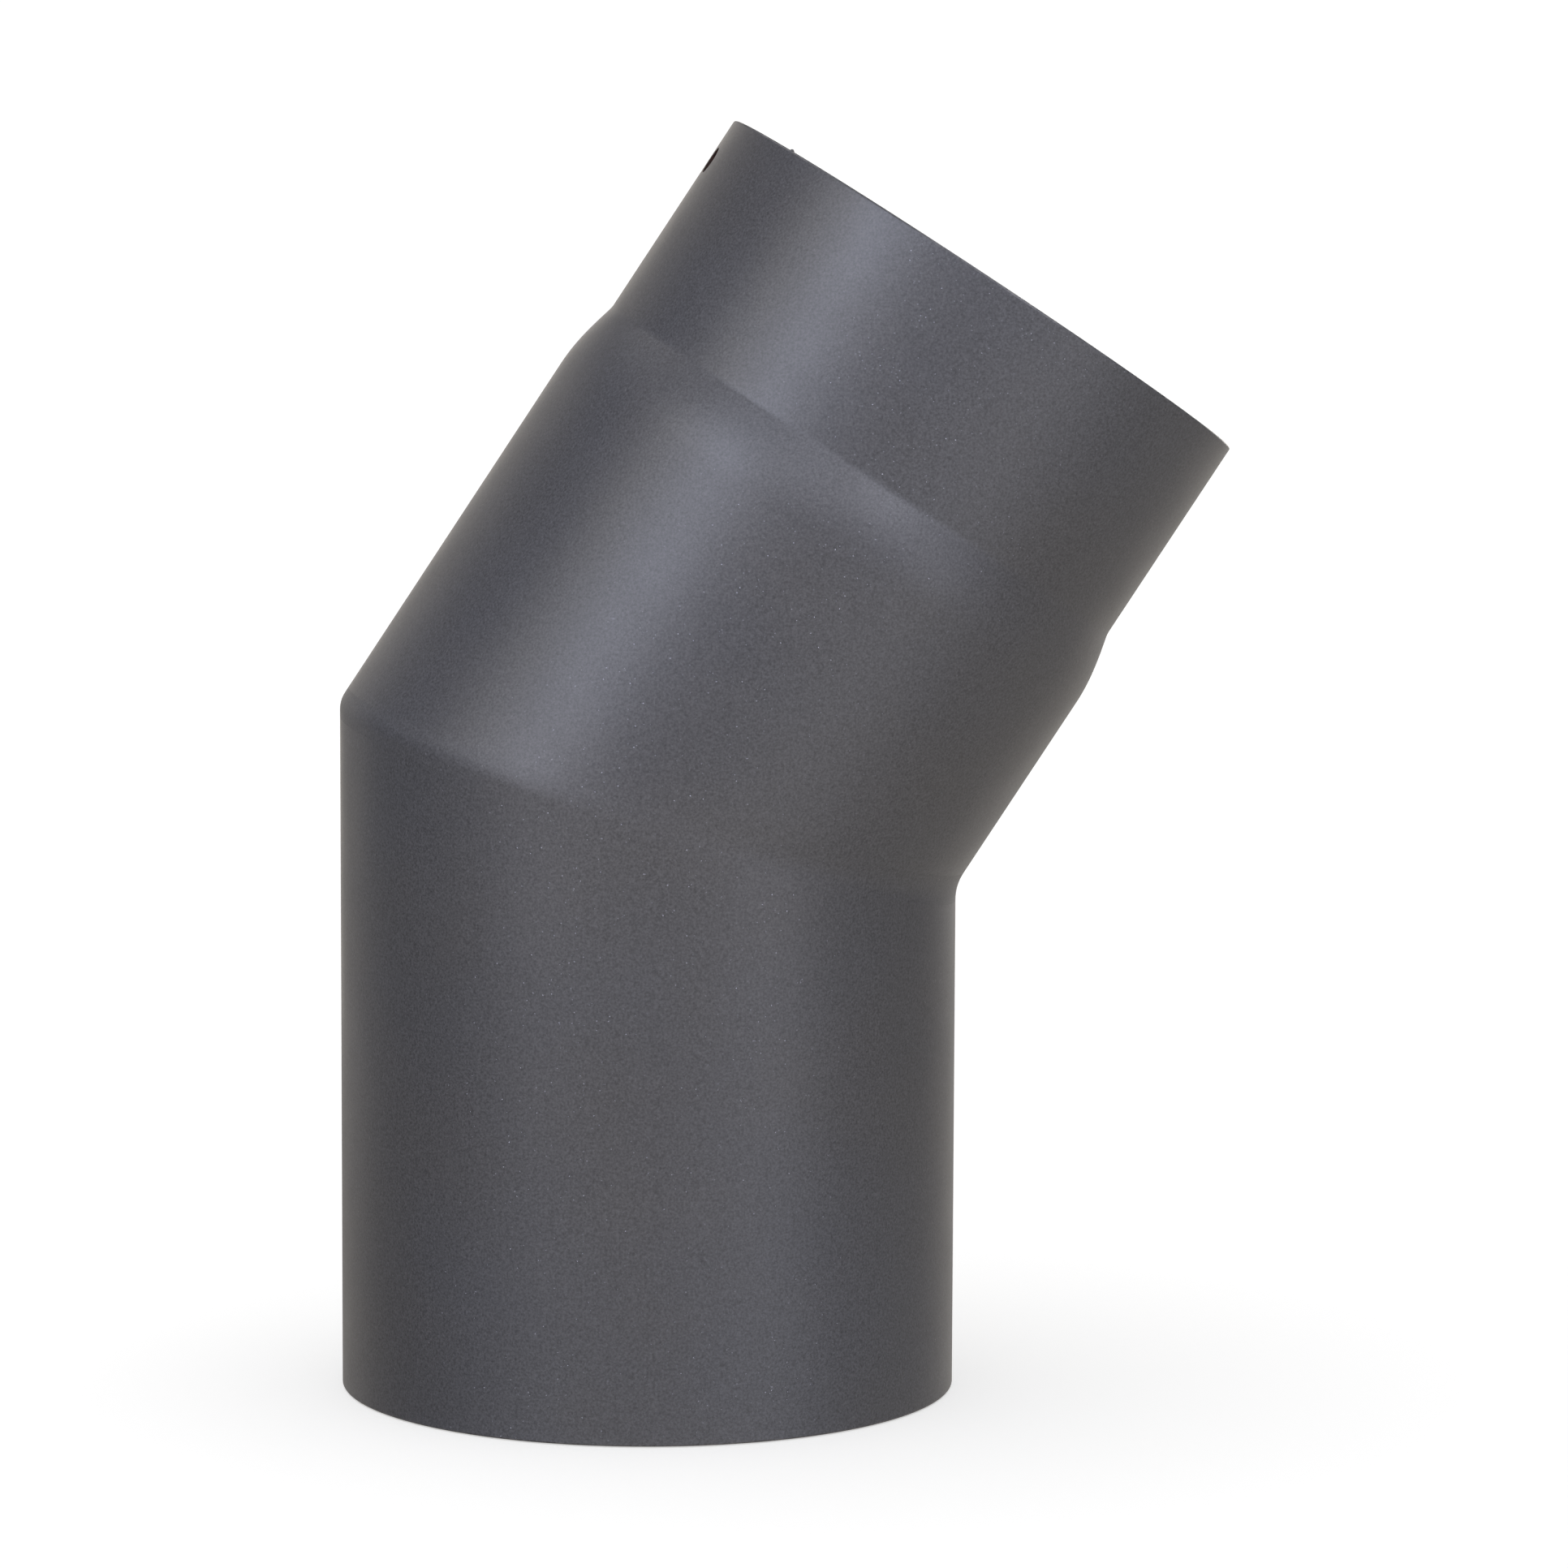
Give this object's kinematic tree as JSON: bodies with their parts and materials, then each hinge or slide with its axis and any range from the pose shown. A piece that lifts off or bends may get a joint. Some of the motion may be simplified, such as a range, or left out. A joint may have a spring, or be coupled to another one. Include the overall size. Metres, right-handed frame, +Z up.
{
  "type": "flue elbow",
  "caption": "Smooth mitred steel stove-pipe bend with a plain socket end, a reduced spigot end and a small hanging hole.",
  "frame": {"origin": "centre of the socket mouth, in the plane of its rim", "axes": "+Z up the axis of the socket leg from its mouth; the spigot leg leans towards +X, so the bend lies in the XZ plane; the closing welds of the tubes are on +Y"},
  "size_m": [0.2222, 0.154, 0.3172],
  "materials": {
    "painted_steel": "satin heat-resistant paint, cast grey",
    "painted_weld": "satin heat-resistant paint over a dressed weld"
  },
  "bodies": {
    "root": {"lower_tube": "painted_steel", "upper_tube": "painted_steel", "miter_weld": "painted_weld", "lower_seam_weld": "painted_weld", "upper_seam_weld": "painted_weld"}
  },
  "joints": []
}
